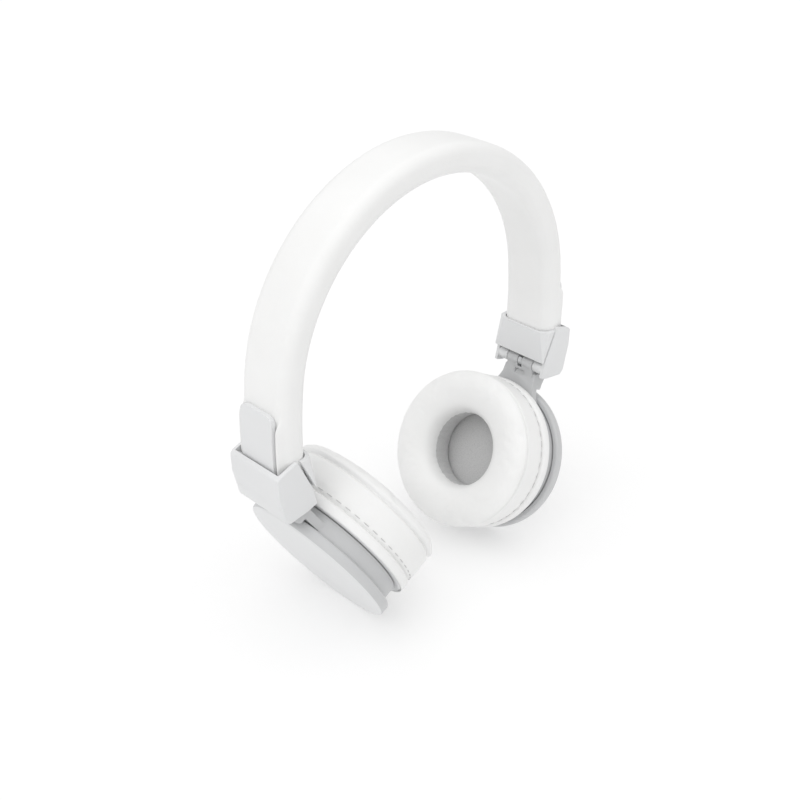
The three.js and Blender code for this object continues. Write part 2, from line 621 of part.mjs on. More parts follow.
// What the controls pass through, from inside the cup to well outside it; the flanges only need inside room.
function controlOpenings(flangeRoom) {
  const [from, to] = [HOUSING_BORE - 6, HOUSING_RADIUS + 6];
  const round = (radius) => bar(radius + GAP, from, to).rotateZ(-Math.PI / 2);
  return [
    ...BUTTON_ANGLES.map((angle) => atWaist(pill(grown(BUTTON, GAP + flangeRoom), from, to), angle)),
    atWaist(pill(grown(CHARGE_SHELL, GAP), from, to), CHARGE_ANGLE),
    atWaist(round(JACK_RADIUS), JACK_ANGLE),
    atWaist(round(LIGHT_RADIUS), LIGHT_ANGLE),
  ];
}

// ---------- the object ----------

function addTo(group, name, geometry, material) {
  const mesh = new THREE.Mesh(geometry, material);
  mesh.name = name;
  group.add(mesh);
}

function buildBand() {
  const group = new THREE.Group();
  addTo(group, 'band_cover', bandCover(), leatherette);
  addTo(group, 'band_foam', bandFoam(), foam);
  addTo(group, 'band_spring_core', bandCore(), steel);
  addTo(group, 'band_speaker_lead', bandLead(), darkPlastic);
  return group;
}

function buildCup(side, hasControls) {
  const group = new THREE.Group();
  group.position.set(-PIN_TO_AXIS, 0, -PIN_TO_FACE);
  addTo(group, `${side}_outer_cap`, cap(), shell);
  addTo(group, `${side}_cup_housing`, housing(hasControls ? controlOpenings(0) : []), shell);
  addTo(group, `${side}_baffle_plate`, baffle(hasControls ? controlOpenings(FLANGE_LIP) : []), darkPlastic);
  SCREW_ANGLES.forEach((angle, i) => addTo(group, `${side}_baffle_screw_${i + 1}`, baffleScrew(angle), steel));
  addTo(group, `${side}_driver_frame`, driverFrame(), darkPlastic);
  addTo(group, `${side}_driver_magnet`, magnet(), steel);
  addTo(group, `${side}_voice_coil`, voiceCoil(), copper);
  addTo(group, `${side}_driver_diaphragm`, diaphragm(), film);
  addTo(group, `${side}_cushion_ring`, lip(), shell);
  addTo(group, `${side}_speaker_screen`, screen(), cloth);
  addTo(group, `${side}_ear_cushion`, earCushion(), leatherette);
  if (hasControls) {
    ['volume_down_button', 'power_button', 'volume_up_button'].forEach((name, i) => {
      addTo(group, name, button(BUTTON_ANGLES[i]), shell);
    });
    addTo(group, 'circuit_board', circuitBoard(), boardGreen);
    addTo(group, 'charging_socket', chargeSocket(), steel);
    addTo(group, 'audio_socket', jackSocket(), darkPlastic);
    addTo(group, 'status_light', statusLight(), lightPipe);
  } else {
    addTo(group, 'battery', battery(), foil);
  }
  return group;
}

function buildSide(side, turn, hasControls) {
  const group = new THREE.Group();
  group.rotation.z = turn;
  const leg = legFrame();
  addTo(leg, `${side}_slider_guide`, sliderGuide(), darkPlastic);
  addTo(leg, `${side}_end_tongue`, tongue(), shell);
  addTo(leg, `${side}_end_cuff`, cuff(), shell);
  addTo(leg, `${side}_slider_strip`, sliderStrip(), steel);
  addTo(leg, `${side}_fold_bracket`, foldBracket(), shell);
  addTo(leg, `${side}_fold_pin`, foldPin(), steel);
  addTo(leg, `${side}_friction_washer`, frictionWasher(), steel);
  const fold = new THREE.Group();
  fold.position.set(PIN_X, 0, PIN_Z);
  fold.rotation.y = REST_FOLD - Math.PI / 2;
  fold.add(buildCup(side, hasControls));
  leg.add(fold);
  group.add(leg);
  return group;
}

function buildHeadphones() {
  const group = new THREE.Group();
  group.add(buildBand());
  group.add(buildSide('left', 0, false));
  group.add(buildSide('right', Math.PI, true));
  group.updateMatrixWorld(true);
  const lowest = new THREE.Box3().setFromObject(group, true).min.z;
  group.position.z = -lowest;
  return group;
}

export default buildHeadphones();
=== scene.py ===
# Foldable wireless headphones: a padded band with an adjuster and a folding ear cup at each end.
# Sizes are in millimetres and are turned into metres as each mesh is made, unless a name says metres.
import json
import math

import bmesh
import bpy
from mathutils import Matrix, Vector
from mathutils.bvhtree import BVHTree


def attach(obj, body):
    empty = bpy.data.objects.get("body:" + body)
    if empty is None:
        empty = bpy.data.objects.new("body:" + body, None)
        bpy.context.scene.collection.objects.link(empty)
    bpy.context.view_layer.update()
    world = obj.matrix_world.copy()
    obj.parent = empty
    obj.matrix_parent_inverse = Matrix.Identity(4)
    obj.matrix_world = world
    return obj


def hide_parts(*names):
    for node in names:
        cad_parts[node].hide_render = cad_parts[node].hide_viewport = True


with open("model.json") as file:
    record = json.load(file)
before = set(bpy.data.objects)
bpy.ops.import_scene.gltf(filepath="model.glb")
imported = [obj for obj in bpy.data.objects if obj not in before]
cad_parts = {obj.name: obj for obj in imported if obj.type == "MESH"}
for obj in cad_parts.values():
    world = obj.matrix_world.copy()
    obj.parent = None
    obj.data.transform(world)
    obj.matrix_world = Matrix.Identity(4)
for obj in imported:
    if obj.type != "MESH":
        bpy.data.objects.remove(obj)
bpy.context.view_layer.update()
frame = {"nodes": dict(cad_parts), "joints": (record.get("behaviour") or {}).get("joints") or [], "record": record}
MM = 0.001
SIDES = {"left": 1, "right": -1}
joints = {j["name"]: j for j in frame["joints"]}
mounts = {m["name"]: m for m in frame["record"]["mounts"]}

# ---------------------------------------------------------------- studio
# The headphones stand on a white sweep under a soft light from the left and a broad one overhead.
# The room is white, so only faint shadows lie round the two cups.
CAMERA_AT = Vector((-0.30312, -0.29054, 0.33239))
CAMERA_AZIMUTH, CAMERA_ELEVATION, CAMERA_ROLL = map(math.radians, (45.37, 30.89, 0.37))
across = Vector((math.cos(CAMERA_AZIMUTH), -math.sin(CAMERA_AZIMUTH), 0))
towards = Vector((
    -math.sin(CAMERA_AZIMUTH) * math.cos(CAMERA_ELEVATION),
    -math.cos(CAMERA_AZIMUTH) * math.cos(CAMERA_ELEVATION),
    math.sin(CAMERA_ELEVATION),
))
upwards = towards.cross(across)
turn = Matrix.Rotation(CAMERA_ROLL, 3, towards)
camera_data = bpy.data.cameras.new("camera")
camera_data.lens = 53.7
camera = bpy.data.objects.new("camera", camera_data)
bpy.context.scene.collection.objects.link(camera)
camera.matrix_world = Matrix.Translation(CAMERA_AT) @ Matrix(
    (turn @ across, turn @ upwards, towards)
).transposed().to_4x4()
bpy.context.scene.camera = camera
bpy.context.scene.view_settings.view_transform = "Standard"


def sun(name, azimuth, elevation, spread, strength):
    data = bpy.data.lights.new(name, "SUN")
    data.angle = math.radians(spread)
    data.energy = strength
    lamp = bpy.data.objects.new(name, data)
    az, el = math.radians(azimuth), math.radians(elevation)
    back = Vector((math.sin(az) * math.cos(el), -math.cos(az) * math.cos(el), math.sin(el)))
    lamp.rotation_mode = "QUATERNION"
    lamp.rotation_quaternion = (-back).to_track_quat("-Z", "Y")
    bpy.context.scene.collection.objects.link(lamp)


sun("key_light", -85, 50, 60, 0.56)
sun("top_light", -20, 80, 110, 1.35)
world = bpy.data.worlds.new("white_room")
world.use_nodes = True
world.node_tree.nodes["Background"].inputs["Color"].default_value = (1, 1, 1, 1)
world.node_tree.nodes["Background"].inputs["Strength"].default_value = 0.55
bpy.context.scene.world = world


# A material of plain shader values, with its roughness mottled and its surface broken up by fine bump.
def finish(name, colour, roughness, **shader):
    material = bpy.data.materials.new(name)
    material.use_nodes = True
    bsdf = material.node_tree.nodes["Principled BSDF"]
    bsdf.inputs["Base Color"].default_value = (*colour, 1)
    bsdf.inputs["Roughness"].default_value = roughness
    for socket, value in shader.items():
        bsdf.inputs[socket.replace("_", " ")].default_value = value
    return material, material.node_tree, bsdf


def node(tree, kind, **inputs):
    made = tree.nodes.new(kind)
    for socket, value in inputs.items():
        made.inputs[socket.replace("_", " ")].default_value = value
    return made


def object_noise(tree, scale, detail=3.0, rough=0.5, kind="ShaderNodeTexNoise"):
    place = next((n for n in tree.nodes if n.bl_idname == "ShaderNodeTexCoord"), None)
    place = place or tree.nodes.new("ShaderNodeTexCoord")
    noise = node(tree, kind, Scale=scale)
    if kind == "ShaderNodeTexNoise":
        noise.inputs["Detail"].default_value = detail
        noise.inputs["Roughness"].default_value = rough
    tree.links.new(place.outputs["Object"], noise.inputs["Vector"])
    return noise


def spread(tree, source, low, high):
    ramp = node(tree, "ShaderNodeMapRange", To_Min=low, To_Max=high)
    tree.links.new(source, ramp.inputs["Value"])
    return ramp.outputs["Result"]


def bumps(tree, bsdf, layers):
    below = None
    for source, strength, depth in layers:
        bump = node(tree, "ShaderNodeBump", Strength=strength, Distance=depth * MM)
        tree.links.new(source, bump.inputs["Height"])
        if below:
            tree.links.new(below.outputs["Normal"], bump.inputs["Normal"])
        below = bump
    tree.links.new(below.outputs["Normal"], bsdf.inputs["Normal"])


def tint(tree, bsdf, noise, dark, light):
    mix = node(tree, "ShaderNodeMix")
    mix.data_type = "RGBA"
    mix.inputs["A"].default_value = (*dark, 1)
    mix.inputs["B"].default_value = (*light, 1)
    tree.links.new(noise, mix.inputs["Factor"])
    tree.links.new(mix.outputs["Result"], bsdf.inputs["Base Color"])


# ---------------------------------------------------------------- floor
# A plain pale sweep of painted card that the rims of both cups rest on. It glows a little of its
# own, which keeps the shadows on it pale.
FLOOR_METRES = 6
floor_card, tree, bsdf = finish(
    "floor_card", (0.56, 0.56, 0.56), 0.75, Emission_Color=(1.0, 1.0, 1.0, 1.0), Emission_Strength=0.4,
)
bumps(tree, bsdf, [(object_noise(tree, 900).outputs["Fac"], 0.1, 0.05)])
bpy.ops.mesh.primitive_grid_add(size=FLOOR_METRES)
floor = bpy.context.object
floor.name = "floor"
floor.data.materials.append(floor_card)

# ---------------------------------------------------------------- white leatherette cover of the band
# The band's pad is foam round a sprung steel core, wrapped in thin white leatherette. The cover is
# one smooth tube with soft edges, and its ends are tucked into the two end cuffs.
CROWN_RADIUS, CROWN_TURN = 73.4, math.radians(83.4)
LEG_RADIUS, LEG_LENGTH = 199.8, 39.8
BAND_HALF, PAD_HALF = 12.0, 5.9
CROWN_ARC = CROWN_RADIUS * CROWN_TURN
BAND_END = CROWN_ARC + LEG_LENGTH
PIN_X, PIN_Z = -3.7, -6.9
leatherette, tree, bsdf = finish(
    "leatherette", (0.9, 0.9, 0.895), 0.52, Sheen_Weight=0.12, Sheen_Roughness=0.4,
)
pebble = object_noise(tree, 1500, kind="ShaderNodeTexVoronoi")
pebble.feature = "SMOOTH_F1"
pores = object_noise(tree, 4200, 2.0)
creases = object_noise(tree, 160, 4.0, 0.6)
bumps(tree, bsdf, [
    (creases.outputs["Fac"], 0.1, 0.35),
    (pebble.outputs["Distance"], 0.3, 0.10),
    (pores.outputs["Fac"], 0.25, 0.04),
])
tint(tree, bsdf, spread(tree, object_noise(tree, 60, 3.0).outputs["Fac"], 0.0, 1.0),
     (0.84, 0.84, 0.832), (0.89, 0.89, 0.887))
tree.links.new(spread(tree, creases.outputs["Fac"], 0.44, 0.62), bsdf.inputs["Roughness"])


def leg_frame(side):
    """Origin at the end of the leg, X outwards, Z up the leg, in millimetres."""
    s = SIDES[side]
    up_leg = -Vector(joints[f"{side}_slide"]["axis"])
    forth = Vector((0, s, 0))
    out = forth.cross(up_leg)
    origin = Vector(joints[f"{side}_fold"]["pos_m"]) / MM - out * PIN_X - up_leg * PIN_Z
    return Matrix.Translation(origin) @ Matrix((out, forth, up_leg)).transposed().to_4x4()


def band_point(s, out=0.0, y=0.0):
    """A point at the distance s along the band from its crown, in millimetres."""
    travel = abs(s)
    heading = travel / CROWN_RADIUS
    if travel > CROWN_ARC:
        heading = CROWN_TURN + (travel - CROWN_ARC) / LEG_RADIUS
    crown = min(heading, CROWN_TURN)
    x = CROWN_RADIUS * math.sin(crown) + LEG_RADIUS * (math.sin(heading) - math.sin(crown))
    z = CROWN_RADIUS * (math.cos(crown) - 1) + LEG_RADIUS * (math.cos(heading) - math.cos(crown))
    side = math.copysign(1, s)
    return Vector((side * (x + out * math.sin(heading)), y, z + out * math.cos(heading)))


CROWN_Z = leg_frame("left").translation.z - band_point(BAND_END).z
TO_CROWN = Vector((0, 0, CROWN_Z))


def make(name, verts, faces, smooth=True):
    mesh = bpy.data.meshes.new(name)
    mesh.from_pydata([Vector(v) * MM for v in verts], [], faces)
    mesh.validate()
    bm = bmesh.new()
    bm.from_mesh(mesh)
    bmesh.ops.remove_doubles(bm, verts=bm.verts, dist=1e-6)
    bmesh.ops.recalc_face_normals(bm, faces=bm.faces)
    bm.to_mesh(mesh)
    bm.free()
    piece = bpy.data.objects.new(name, mesh)
    bpy.context.scene.collection.objects.link(piece)
    if smooth:
        mesh.shade_smooth()
    return piece


def bake(piece):
    """Applies the modifiers of a piece."""
    bpy.context.view_layer.update()
    ready = bpy.data.meshes.new_from_object(piece.evaluated_get(bpy.context.evaluated_depsgraph_get()))
    piece.modifiers.clear()
    piece.data = ready
    ready.name = piece.name
    return piece


def sweep(name, rings, closed_ends=True):
    """Skins rings of points that all have the same count."""
    n = len(rings[0])
    verts = [p for ring in rings for p in ring]
    faces = [
        (i * n + j, i * n + (j + 1) % n, (i + 1) * n + (j + 1) % n, (i + 1) * n + j)
        for i in range(len(rings) - 1) for j in range(n)
    ]
    if closed_ends:
        faces += [tuple(range(n))[::-1], tuple(range(len(verts) - n, len(verts)))]
    return make(name, verts, faces)


def rounded_box(half_out, half_y, corner, steps=6):
    """Points round a rectangle with rounded corners, as (out, y) pairs."""
    points = []
    for k, (so, sy) in enumerate([(1, 1), (-1, 1), (-1, -1), (1, -1)]):
        for i in range(steps + 1):
            a = math.pi / 2 * (k + i / steps)
            points.append((
                so * (half_out - corner) + corner * math.cos(a),
                sy * (half_y - corner) + corner * math.sin(a),
            ))
    return points


COVER_WALL, COVER_CROWN, COVER_CORNER, TUCKED = 1.0, 0.3, 4.6, 12.0
TONGUE_EDGE, TONGUE_TOP, TONGUE_PRESS, PRESS_WIDTH = 10.2, 31.0, 2.7, 0.8
COVER_STEPS, POINT_PITCH = 220, 0.55


def cover_section(swell, pressed=0.0):
    """The pad's outline: faces a little crowned, and pressed in along the edges of the tongue."""
    points = rounded_box(PAD_HALF, BAND_HALF, COVER_CORNER, 8)
    dense = []
    for (o0, y0), (o1, y1) in zip(points, points[1:] + points[:1]):
        count = max(1, round(math.hypot(o1 - o0, y1 - y0) / POINT_PITCH))
        dense += [(o0 + (o1 - o0) * k / count, y0 + (y1 - y0) * k / count) for k in range(count)]
    shaped = []
    for out, y in dense:
        crown = swell * max(0.0, 1 - (y / BAND_HALF) ** 2)
        if out > 0:
            crown -= pressed * math.exp(-(((abs(y) - TONGUE_EDGE) / PRESS_WIDTH) ** 2))
        near_middle = max(0.0, 1 - (out / PAD_HALF) ** 2)
        grow = math.copysign(crown, out) if abs(out) > 2 else 0
        shaped.append((out + grow, y + math.copysign(0.25 * near_middle, y) * (swell > 0)))
    return shaped


outer, inner = [], []
for i in range(COVER_STEPS + 1):
    s = -BAND_END + 2 * BAND_END * i / COVER_STEPS
    free = min(1.0, max(0.0, (BAND_END - abs(s) - TUCKED + 4) / 12))
    under = TONGUE_PRESS * min(1.0, max(0.0, (TONGUE_TOP - 1 - BAND_END + abs(s)) / 4))
    outer.append([band_point(s, o, y) + TO_CROWN for o, y in cover_section(COVER_CROWN * free, under)])
    inner.append([
        band_point(s, o * (PAD_HALF - COVER_WALL) / PAD_HALF, y * (BAND_HALF - COVER_WALL) / BAND_HALF)
        + TO_CROWN for o, y in cover_section(0)
    ])
band_pad = sweep("band_pad", outer + inner[::-1] + outer[:1], closed_ends=False)
band_pad.data.materials.append(leatherette)

# The foam inside the cover, on the head's side of the steel core.
foam_rubber, tree, bsdf = finish("foam_rubber", (0.72, 0.71, 0.68), 0.95)
cells = object_noise(tree, 1800, kind="ShaderNodeTexVoronoi")
bumps(tree, bsdf, [(cells.outputs["Distance"], 0.8, 0.3)])
foam_ring = [(-0.9, -10.5), (-0.9, 10.5), (-3.4, 10.6), (-4.5, 9.2), (-4.5, -9.2), (-3.4, -10.6)]
FOAM_STEPS, foam_end = 90, BAND_END - 0.6
band_foam = sweep("band_foam_strip", [
    [band_point(foam_end * (2 * i / FOAM_STEPS - 1), o, y) + TO_CROWN for o, y in foam_ring]
    for i in range(FOAM_STEPS + 1)
])
band_foam.data.materials.append(foam_rubber)
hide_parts("band_cover")
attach(band_pad, "band")
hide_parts("band_foam")
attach(band_foam, "band")

# ---------------------------------------------------------------- stitches
# Grey polyester thread, sewn in a row round the base of each ear cushion. Its mid grey is painted shade for the
# shadowed stitch holes.
thread_painted_shade, tree, bsdf = finish("thread_painted_shade", (0.6, 0.6, 0.595), 0.6, Sheen_Weight=0.3)
bumps(tree, bsdf, [(object_noise(tree, 5200, 2.0).outputs["Fac"], 0.5, 0.05)])


def stitch_tree():
    """Lays one stitch at each pitch along every edge path."""
    tree = bpy.data.node_groups.new("stitches", "GeometryNodeTree")
    face = tree.interface
    face.new_socket("Geometry", in_out="INPUT", socket_type="NodeSocketGeometry")
    for name, metres in (("Pitch", 0.003), ("Stitch length", 0.0021), ("Thread radius", 0.00024)):
        face.new_socket(name, in_out="INPUT", socket_type="NodeSocketFloat").default_value = metres
    face.new_socket("Material", in_out="INPUT", socket_type="NodeSocketMaterial")
    face.new_socket("Geometry", in_out="OUTPUT", socket_type="NodeSocketGeometry")
    add, link = tree.nodes.new, tree.links.new
    group_in, group_out = add("NodeGroupInput"), add("NodeGroupOutput")
    to_curve, resample = add("GeometryNodeMeshToCurve"), add("GeometryNodeResampleCurve")
    resample.mode = "LENGTH"
    link(group_in.outputs["Geometry"], to_curve.inputs["Mesh"])
    link(to_curve.outputs["Curve"], resample.inputs["Curve"])
    link(group_in.outputs["Pitch"], resample.inputs["Length"])
    bead = add("GeometryNodeMeshUVSphere")
    bead.inputs["Segments"].default_value = 8
    bead.inputs["Rings"].default_value = 5
    bead.inputs["Radius"].default_value = 1.0
    smooth = add("GeometryNodeSetShadeSmooth")
    link(bead.outputs["Mesh"], smooth.inputs["Geometry"])
    half = add("ShaderNodeMath")
    half.operation = "DIVIDE"
    half.inputs[1].default_value = 2.0
    link(group_in.outputs["Stitch length"], half.inputs[0])
    size = add("ShaderNodeCombineXYZ")
    link(group_in.outputs["Thread radius"], size.inputs["X"])
    link(group_in.outputs["Thread radius"], size.inputs["Y"])
    link(half.outputs["Value"], size.inputs["Z"])
    along, aim = add("GeometryNodeInputTangent"), add("FunctionNodeAlignRotationToVector")
    aim.axis = "Z"
    link(along.outputs["Tangent"], aim.inputs["Vector"])
    place = add("GeometryNodeInstanceOnPoints")
    link(resample.outputs["Curve"], place.inputs["Points"])
    link(smooth.outputs["Geometry"], place.inputs["Instance"])
    link(aim.outputs["Rotation"], place.inputs["Rotation"])
    link(size.outputs["Vector"], place.inputs["Scale"])
    realize, paint = add("GeometryNodeRealizeInstances"), add("GeometryNodeSetMaterial")
    link(place.outputs["Instances"], realize.inputs["Geometry"])
    link(realize.outputs["Geometry"], paint.inputs["Geometry"])
    link(group_in.outputs["Material"], paint.inputs["Material"])
    link(paint.outputs["Geometry"], group_out.inputs["Geometry"])
    return tree


stitching = stitch_tree()


def sew(name, path, body, **sizes):
    """One mesh of stitches along an open path of points in millimetres, with sizes in metres."""
    mesh = bpy.data.meshes.new(name)
    mesh.from_pydata([p * MM for p in path], [(i, i + 1) for i in range(len(path) - 1)], [])
    piece = bpy.data.objects.new(name, mesh)
    bpy.context.scene.collection.objects.link(piece)
    nodes = piece.modifiers.new("stitches", "NODES")
    nodes.node_group = stitching
    inputs = {i.name: i.identifier for i in stitching.interface.items_tree if i.in_out == "INPUT"}
    nodes[inputs["Material"]] = thread_painted_shade
    for label, value in sizes.items():
        nodes[inputs[label.replace("_", " ")]] = value
    bake(piece)
    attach(piece, body)
    return piece


# ---------------------------------------------------------------- light grey moulded plastic
# The tongue, cuff, bracket, cup shells and buttons are moulded in satin light grey plastic with a
# fine spark-eroded texture and softly rounded edges.
moulded, tree, bsdf = finish("moulded_plastic", (0.76, 0.765, 0.77), 0.38, Specular_IOR_Level=0.45)
grain = object_noise(tree, 5200, 2.0, 0.55)
flow = object_noise(tree, 45, 3.0)
bumps(tree, bsdf, [(flow.outputs["Fac"], 0.05, 0.3), (grain.outputs["Fac"], 0.12, 0.035)])
tint(tree, bsdf, flow.outputs["Fac"], (0.735, 0.74, 0.745), (0.765, 0.77, 0.775))
tree.links.new(spread(tree, grain.outputs["Fac"], 0.33, 0.45), bsdf.inputs["Roughness"])

# A darker grey copy for the housing and the cap's rim side. On the housing it is partly the housing's own grey and
# partly painted shade for the shaded waist and neck. On the cap's rim it is painted shade.
grey_plastic_painted_shade = moulded.copy()
grey_plastic_painted_shade.name = "grey_plastic_painted_shade"
mix = next(n for n in grey_plastic_painted_shade.node_tree.nodes if n.bl_idname == "ShaderNodeMix")
mix.inputs["A"].default_value = (0.55, 0.555, 0.56, 1)
mix.inputs["B"].default_value = (0.585, 0.59, 0.595, 1)


def carve(base, tools, how="DIFFERENCE"):
    """Cuts or joins closed pieces, which are used up."""
    for tool in tools:
        step = base.modifiers.new("step", "BOOLEAN")
        step.operation, step.object, step.solver = how, tool, "EXACT"
        bake(base)
        bpy.data.objects.remove(tool)
    return base


def soften(piece, width, segments=3, angle=28):
    """Rounds the sharp edges of a closed piece."""
    edge = piece.modifiers.new("edges", "BEVEL")
    edge.width, edge.segments, edge.limit_method = width * MM, segments, "ANGLE"
    edge.angle_limit = math.radians(angle)
    edge.use_clamp_overlap = True
    return bake(piece)


def paint_faces(piece, material, faces):
    """Gives some faces of a dressed piece a second material."""
    piece.data.materials.append(material)
    for index in faces:
        piece.data.polygons[index].material_index = 1


def dress(piece, material, body, slot_name, *nodes_replaced, angle=35):
    """Gives a finished piece its material and body, and hides the modelled nodes that it replaces."""
    piece.data.materials.clear()
    piece.data.materials.append(material)
    for face in piece.data.polygons:
        face.material_index = 0
    piece.data.shade_smooth()
    piece.data.set_sharp_from_angle(angle=math.radians(angle))
    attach(piece, body)
    if nodes_replaced:
        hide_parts(*nodes_replaced)
    return piece


def placed(piece, matrix):
    """Moves a mesh built in millimetres about a local frame to its place on the object."""
    shift = matrix.copy()
    shift.translation = matrix.translation * MM
    piece.data.transform(shift)
    piece.data.update()
    return piece


def slab(name, outline, y0, y1):
    """A plate with an (x, z) outline between two places along Y."""
    n = len(outline)
    verts = [(x, y, z) for y in (y0, y1) for x, z in outline]
    faces = [tuple(range(n)), tuple(range(n, 2 * n))[::-1]]
    faces += [(i, (i + 1) % n, n + (i + 1) % n, n + i) for i in range(n)]
    return make(name, verts, faces, smooth=False)


def brick(name, x, y, z):
    return slab(name, [(x[0], z[0]), (x[1], z[0]), (x[1], z[1]), (x[0], z[1])], *y)


def rod(name, radius, y0, y1, x, z, sides=48):
    turns = [2 * math.pi * i / sides for i in range(sides)]
    return slab(name, [(x + radius * math.cos(a), z + radius * math.sin(a)) for a in turns], y0, y1)


# ---------------------------------------------------------------- end tongue
# A thin moulded plate with rounded corners and rolled edges, glued along the outer face of each end
# of the band. It takes the load of the adjuster and frames the end of the pad.
TONGUE_HALF, TONGUE_THICK, TONGUE_LONG, TONGUE_OVER = 8.85, 2.0, 31.0, 1.0
TONGUE_CORNER, PAD_GAP = 3.2, 0.3


def tongue(side):
    s = SIDES[side]
    low, high = BAND_END - TONGUE_LONG, BAND_END + TONGUE_OVER
    levels, columns = 44, 26
    grid = []
    for i in range(levels + 1):
        t = low + (high - low) * i / levels
        corner = max(0.0, TONGUE_CORNER - (t - low))
        half = TONGUE_HALF - (TONGUE_CORNER - math.sqrt(max(0, TONGUE_CORNER**2 - corner**2)))
        grid.append([(t, -half + 2 * half * j / columns) for j in range(columns + 1)])
    inside = PAD_HALF + PAD_GAP
    verts, faces = [], []
    for layer in (inside, inside + TONGUE_THICK):
        verts += [band_point(s * t, layer, y) + TO_CROWN for row in grid for t, y in row]
    w, size = columns + 1, (levels + 1) * (columns + 1)
    for i in range(levels):
        for j in range(columns):
            a = i * w + j
            faces += [(a, a + 1, a + w + 1, a + w), (size + a, size + a + w, size + a + w + 1, size + a + 1)]
    rim = list(range(w)) + [i * w + columns for i in range(1, levels + 1)]
    rim += [levels * w + j for j in range(columns - 1, -1, -1)] + [i * w for i in range(levels - 1, 0, -1)]
    for a, b in zip(rim, rim[1:] + rim[:1]):
        faces.append((a, b, b + size, a + size))
    return make(f"{side}_tongue", verts, faces)


for side in SIDES:
    dress(soften(tongue(side), 0.75, 4, 50), moulded, "band", "shell", f"{side}_end_tongue", angle=60)

# ---------------------------------------------------------------- end cuff
# A moulded cuff closed round the pad's end. Its inner side tapers at the top corners, and its front
# edge is cut on the slant where the fold bracket slides up against it.
CUFF_TOP, CUFF_BOTTOM, CUFF_IN = 11.6, -2.6, -7.4
CUFF_HALF, CUFF_FLAT, CUFF_CHAMFER = 13.8, 10.3, 3.4
EDGE_TOP, EDGE_MID, EDGE_LOW = (1.35, 12.4), (-5.6, -2.4), (-7.4, -10.2)
BRACKET_GAP = 1.2
PAD_ROOM, TUBE_STEPS = 0.3, 24


def band_tube(name, side, room, low, high):
    """The pad's outside grown by some room, over a stretch of the band and on past its end."""
    ring = rounded_box(PAD_HALF + room, BAND_HALF + room, 4 + room)
    along = [SIDES[side] * (low + (high - low) * i / TUBE_STEPS) for i in range(TUBE_STEPS + 1)]
    return sweep(name, [[band_point(s, o, y) + TO_CROWN for o, y in ring] for s in along])


def cuff(side):
    points = []
    for way in (-1, 1):
        points += [(CUFF_IN, way * CUFF_HALF, CUFF_BOTTOM), (11, way * CUFF_HALF, CUFF_BOTTOM)]
        points += [(CUFF_IN + 0.7, way * CUFF_FLAT, CUFF_TOP)]
        points += [(CUFF_IN + CUFF_CHAMFER, way * CUFF_HALF, CUFF_TOP), (11, way * CUFF_HALF, CUFF_TOP)]
    piece = make(f"{side}_cuff", points, [], smooth=False)
    bm = bmesh.new()
    bm.from_mesh(piece.data)
    bmesh.ops.convex_hull(bm, input=bm.verts)
    slope = (EDGE_TOP[0] - EDGE_MID[0]) / (EDGE_TOP[1] - EDGE_MID[1])
    across_edge = Vector((1, 0, -slope)).normalized()
    on_edge = Vector((EDGE_MID[0] - BRACKET_GAP, 0, EDGE_MID[1])) * MM
    bmesh.ops.bisect_plane(
        bm, geom=bm.verts[:] + bm.edges[:] + bm.faces[:], dist=1e-7,
        plane_co=on_edge, plane_no=across_edge, clear_outer=True,
    )
    bmesh.ops.holes_fill(bm, edges=[e for e in bm.edges if e.is_boundary])
    bmesh.ops.dissolve_limit(bm, angle_limit=0.01, verts=bm.verts, edges=bm.edges)
    bmesh.ops.recalc_face_normals(bm, faces=bm.faces)
    bm.to_mesh(piece.data)
    bm.free()
    placed(soften(piece, 0.5, 3, 20), leg_frame(side))
    return carve(piece, [band_tube("pad_room", side, PAD_ROOM, BAND_END - 30, BAND_END + 24)])


for side in SIDES:
    dress(cuff(side), moulded, "band", "shell", f"{side}_end_cuff")

# ---------------------------------------------------------------- fold bracket
# An open moulded yoke: two cheeks, an outside web and a saddle that is moulded over the steel strip.
# Two short knuckles under the saddle hold the ends of the fold pin.
CHEEK_OUT, CHEEK_IN = 13.8, 12.3
BRACKET_OUT, BRACKET_TOP, BRACKET_BOTTOM, WEB = 11.0, 9.4, -13.0, 1.5
KNUCKLE_RADIUS, KNUCKLE_HALF, PIN_ROOM = 3.0, 7.0, 1.4
STRIP_X, STRIP_HALF, STRIP_THICK, STRIP_ROOM = 3.2, 5.0, 1.0, 0.3
POST_IN, POST_Y, POST_BASE = 7.4, (9.6, 12.6), -3.3


